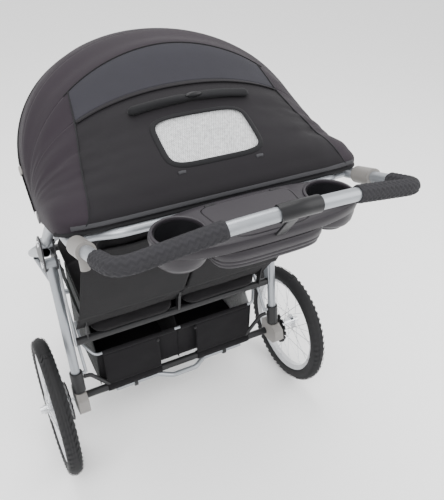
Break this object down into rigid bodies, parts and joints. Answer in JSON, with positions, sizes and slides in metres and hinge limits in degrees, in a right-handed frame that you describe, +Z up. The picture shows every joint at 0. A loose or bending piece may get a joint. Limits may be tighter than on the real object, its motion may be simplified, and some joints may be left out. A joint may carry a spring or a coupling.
{
  "type": "side-by-side jogging stroller",
  "caption": "Side-by-side jogging stroller: folding steel frame, spoked rear wheels, swivelling front wheel, reclining seats, wide canopy with window, parent tray and basket.",
  "frame": {"origin": "on the ground, below the centre of the stroller's overall box", "axes": "+Z up, -Y forwards (the way the riders face), +X to the riders' left"},
  "size_m": [0.864, 1.3244, 1.1525],
  "materials": {
    "steel": "satin silver powder coat",
    "black_metal": "satin black powder coat",
    "chrome": "polished",
    "plate_grey": "moulded grey plastic",
    "collar_grey": "moulded warm grey plastic",
    "black_plastic": "moulded black plastic",
    "tray_plastic": "satin charcoal plastic",
    "tyre": "matt rubber",
    "foam": "embossed foam",
    "canopy_fabric": "woven polyester",
    "seat_fabric": "woven polyester",
    "basket_fabric": "woven polyester",
    "button_red": "gloss"
  },
  "bodies": {
    "front_frame": {"front_tubes": "steel", "seat_tubes": "steel", "seat_hangers": "steel", "hinge_plates": "plate_grey", "hinge_bolts": "chrome", "footrest_tube": "steel", "footrest_deck": "black_plastic", "steering_head": "black_plastic", "seat_pan_left": "seat_fabric", "seat_pan_right": "seat_fabric", "harness_buckles": "black_plastic"},
    "fork": {"front_fork": "steel", "front_axle": "chrome"},
    "front_wheel": {"front_tyre": "tyre", "front_rim": "chrome", "front_spokes": "chrome", "front_hub": "chrome"},
    "lock_knob": {"swivel_lock_knob": "black_plastic"},
    "upper_frame": {"upper_tubes": "steel", "handle_bar": "steel", "crossbar": "steel", "foam_grips": "foam", "tray_body": "tray_plastic", "cup_liners": "black_plastic", "tray_clip": "black_plastic", "canopy_pivots": "steel", "canopy_rear_panel": "canopy_fabric"},
    "tray_lid": {"tray_lid": "tray_plastic"},
    "collar_left": {"release_collar_left": "collar_grey"},
    "collar_right": {"release_collar_right": "collar_grey"},
    "rear_frame": {"rear_legs": "steel", "leg_sleeves": "black_metal", "axle_housings": "plate_grey", "axle_tube": "black_metal", "link_rods": "steel", "basket_wire": "steel", "storage_basket": "basket_fabric", "wheel_axles": "chrome"},
    "rear_wheel_left": {"left_tyre": "tyre", "left_rim": "chrome", "left_spokes": "chrome", "left_hub": "chrome", "left_brake_cog": "black_plastic"},
    "rear_wheel_right": {"right_tyre": "tyre", "right_rim": "chrome", "right_spokes": "chrome", "right_hub": "chrome", "right_brake_cog": "black_plastic"},
    "brake_bar": {"brake_bar": "steel"},
    "recline_left": {"recline_rod_left": "steel"},
    "recline_right": {"recline_rod_right": "steel"},
    "seat_back_left": {"seat_back_left": "seat_fabric"},
    "seat_back_right": {"seat_back_right": "seat_fabric"},
    "canopy_mid": {"canopy_bow_mid": "black_metal", "canopy_top_panel": "canopy_fabric"},
    "canopy_top": {"canopy_bow_top": "black_metal", "canopy_visor_panel": "canopy_fabric"},
    "canopy_visor": {"canopy_bow_visor": "black_metal"},
    "button_left": {"buckle_button_left": "button_red"},
    "button_right": {"buckle_button_right": "button_red"}
  },
  "joints": [
    {"name": "frame_fold", "type": "hinge", "parent": "front_frame", "child": "upper_frame", "pos_m": [0, 0.06575, 0.7], "axis": [1, 0, 0], "range_deg": [0, 160]},
    {"name": "rear_leg_fold", "type": "hinge", "parent": "front_frame", "child": "rear_frame", "pos_m": [0, 0.07075, 0.64], "axis": [1, 0, 0], "range_deg": [-45, 0], "deforming": ["storage_basket"]},
    {"name": "left_wheel_spin", "type": "hinge", "parent": "rear_frame", "child": "rear_wheel_left", "pos_m": [0.388, 0.13075, 0.1995], "axis": [1, 0, 0], "continuous": true},
    {"name": "right_wheel_spin", "type": "hinge", "parent": "rear_frame", "child": "rear_wheel_right", "pos_m": [-0.388, 0.13075, 0.1995], "axis": [1, 0, 0], "continuous": true},
    {"name": "fork_swivel", "type": "hinge", "parent": "front_frame", "child": "fork", "pos_m": [0, -0.55925, 0.36], "axis": [0, 0, 1], "continuous": true},
    {"name": "front_wheel_spin", "type": "hinge", "parent": "fork", "child": "front_wheel", "pos_m": [0, -0.50925, 0.153], "axis": [1, 0, 0], "continuous": true},
    {"name": "swivel_lock_pull", "type": "slide", "parent": "front_frame", "child": "lock_knob", "axis": [0, 0, 1], "range_m": [0, 0.01], "stiffness_N_per_m": 300},
    {"name": "brake_bar_tilt", "type": "hinge", "parent": "rear_frame", "child": "brake_bar", "pos_m": [0, 0.12875, 0.1785], "axis": [1, 0, 0], "range_deg": [-20, 0]},
    {"name": "collar_left_slide", "type": "slide", "parent": "upper_frame", "child": "collar_left", "axis": [-0.0569, 0.9426, 0.329], "range_m": [0, 0.012], "stiffness_N_per_m": 600},
    {"name": "collar_right_slide", "type": "slide", "parent": "upper_frame", "child": "collar_right", "axis": [0.0569, 0.9426, 0.329], "range_m": [0, 0.012], "stiffness_N_per_m": 600},
    {"name": "tray_lid_hinge", "type": "hinge", "parent": "upper_frame", "child": "tray_lid", "pos_m": [0, 0.45775, 0.9475], "axis": [1, 0, 0], "range_deg": [0, 85]},
    {"name": "seat_back_fold_left", "type": "hinge", "parent": "front_frame", "child": "recline_left", "pos_m": [0, 0.12875, 0.472], "axis": [1, 0, 0], "range_deg": [0, 96.5]},
    {"name": "seat_back_fold_right", "type": "hinge", "parent": "front_frame", "child": "recline_right", "pos_m": [0, 0.12875, 0.472], "axis": [1, 0, 0], "range_deg": [0, 96.5]},
    {"name": "recline_left", "type": "hinge", "parent": "recline_left", "child": "seat_back_left", "pos_m": [0, 0.12875, 0.472], "axis": [1, 0, 0], "range_deg": [-22, 0]},
    {"name": "recline_right", "type": "hinge", "parent": "recline_right", "child": "seat_back_right", "pos_m": [0, 0.12875, 0.472], "axis": [1, 0, 0], "range_deg": [-22, 0]},
    {"name": "canopy_mid_fold", "type": "hinge", "parent": "upper_frame", "child": "canopy_mid", "pos_m": [0, 0.21575, 0.862], "axis": [1, 0, 0], "range_deg": [-72, 0], "deforming": ["canopy_rear_panel", "canopy_top_panel"]},
    {"name": "canopy_top_fold", "type": "hinge", "parent": "canopy_mid", "child": "canopy_top", "pos_m": [0, 0.21575, 0.862], "axis": [1, 0, 0], "range_deg": [-32, 0], "deforming": ["canopy_visor_panel"]},
    {"name": "canopy_visor_tilt", "type": "hinge", "parent": "canopy_top", "child": "canopy_visor", "pos_m": [0, 0.21575, 0.862], "axis": [1, 0, 0], "range_deg": [-17, 0]},
    {"name": "button_left_press", "type": "slide", "parent": "front_frame", "child": "button_left", "axis": [0, -0.249, -0.9685], "range_m": [0, 0.003], "stiffness_N_per_m": 400},
    {"name": "button_right_press", "type": "slide", "parent": "front_frame", "child": "button_right", "axis": [0, -0.249, -0.9685], "range_m": [0, 0.003], "stiffness_N_per_m": 400}
  ],
  "couplings": [
    {"joint": "rear_leg_fold", "follows": "frame_fold", "ratio": -0.28125},
    {"joint": "seat_back_fold_left", "follows": "frame_fold", "ratio": 0.60312},
    {"joint": "seat_back_fold_right", "follows": "frame_fold", "ratio": 0.60312},
    {"joint": "canopy_mid_fold", "follows": "frame_fold", "ratio": -0.45},
    {"joint": "canopy_top_fold", "follows": "frame_fold", "ratio": -0.2}
  ]
}
